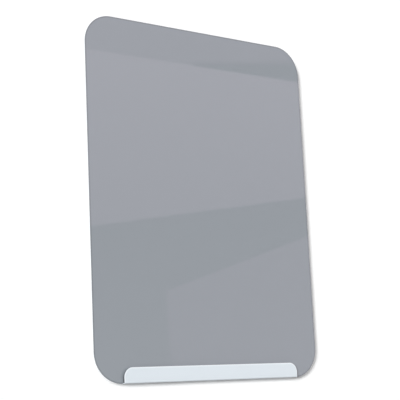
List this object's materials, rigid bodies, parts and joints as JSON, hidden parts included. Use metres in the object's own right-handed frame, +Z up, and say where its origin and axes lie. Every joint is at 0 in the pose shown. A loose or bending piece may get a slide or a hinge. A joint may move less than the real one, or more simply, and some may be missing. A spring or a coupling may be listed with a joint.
{
  "type": "magnetic whiteboard",
  "caption": "Frameless magnetic whiteboard with rounded corners, a gray gloss writing face and a folded white ledge, which lifts off a rail on the wall.",
  "frame": {"origin": "on the wall, at the middle of the wall rail's back face", "axes": "+Z up, -Y out of the wall towards the person who writes, +X to that person's right"},
  "size_m": [0.4572, 0.0492, 0.6096],
  "materials": {
    "gray_dry_erase_coat": "high gloss dry-erase coat",
    "white_powder_coat": "satin powder coat",
    "zinc_plated_steel": "bright zinc plating",
    "rubber": "matt",
    "foam_tape": "matt foam",
    "nylon": "moulded"
  },
  "bodies": {
    "wall_mount": {"wall_rail": "zinc_plated_steel", "wall_screw_left": "zinc_plated_steel", "wall_washer_left": "zinc_plated_steel", "wall_plug_left": "nylon", "wall_screw_right": "zinc_plated_steel", "wall_washer_right": "zinc_plated_steel", "wall_plug_right": "nylon"},
    "board": {"writing_sheet": "gray_dry_erase_coat", "tape_left": "foam_tape", "tape_centre": "foam_tape", "tape_right": "foam_tape", "back_panel": "white_powder_coat", "hook_channel": "zinc_plated_steel", "spacer_channel": "zinc_plated_steel", "weld_stud_hook_1": "zinc_plated_steel", "flange_nut_hook_1": "zinc_plated_steel", "weld_stud_hook_2": "zinc_plated_steel", "flange_nut_hook_2": "zinc_plated_steel", "weld_stud_hook_3": "zinc_plated_steel", "flange_nut_hook_3": "zinc_plated_steel", "weld_stud_hook_4": "zinc_plated_steel", "flange_nut_hook_4": "zinc_plated_steel", "weld_stud_spacer_1": "zinc_plated_steel", "flange_nut_spacer_1": "zinc_plated_steel", "weld_stud_spacer_2": "zinc_plated_steel", "flange_nut_spacer_2": "zinc_plated_steel", "weld_stud_spacer_3": "zinc_plated_steel", "flange_nut_spacer_3": "zinc_plated_steel", "weld_stud_spacer_4": "zinc_plated_steel", "flange_nut_spacer_4": "zinc_plated_steel", "bumper_left": "rubber", "bumper_right": "rubber"}
  },
  "joints": [
    {"name": "lift_off", "type": "slide", "parent": "wall_mount", "child": "board", "axis": [0, 0, 1], "range_m": [0, 0.03]}
  ]
}
